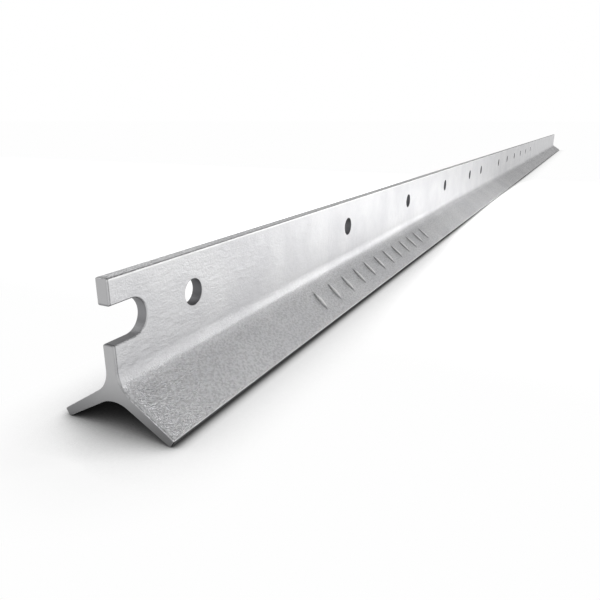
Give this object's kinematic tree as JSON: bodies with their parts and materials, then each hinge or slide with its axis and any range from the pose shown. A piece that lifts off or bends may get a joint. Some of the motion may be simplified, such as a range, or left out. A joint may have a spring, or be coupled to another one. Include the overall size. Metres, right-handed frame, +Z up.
{
  "type": "steel fence post",
  "caption": "Galvanised rolled steel fence post of Y section with a wire notch in the head, punched wire holes along the web and a short row of rolled lugs on one flange.",
  "frame": {"origin": "middle of the post's outer box, on the ground under the two flange tips", "axes": "+X along the post from the notched head to the plain foot, +Z up along the long web, -Y towards the flange that carries the lugs"},
  "size_m": [1.65, 0.0376, 0.0417],
  "materials": {
    "galvanised_steel": "hot-dip galvanised over hot-rolled steel, satin grey with a fine pebbled grain"
  },
  "bodies": {
    "root": {"fence_post": "galvanised_steel"}
  },
  "joints": []
}
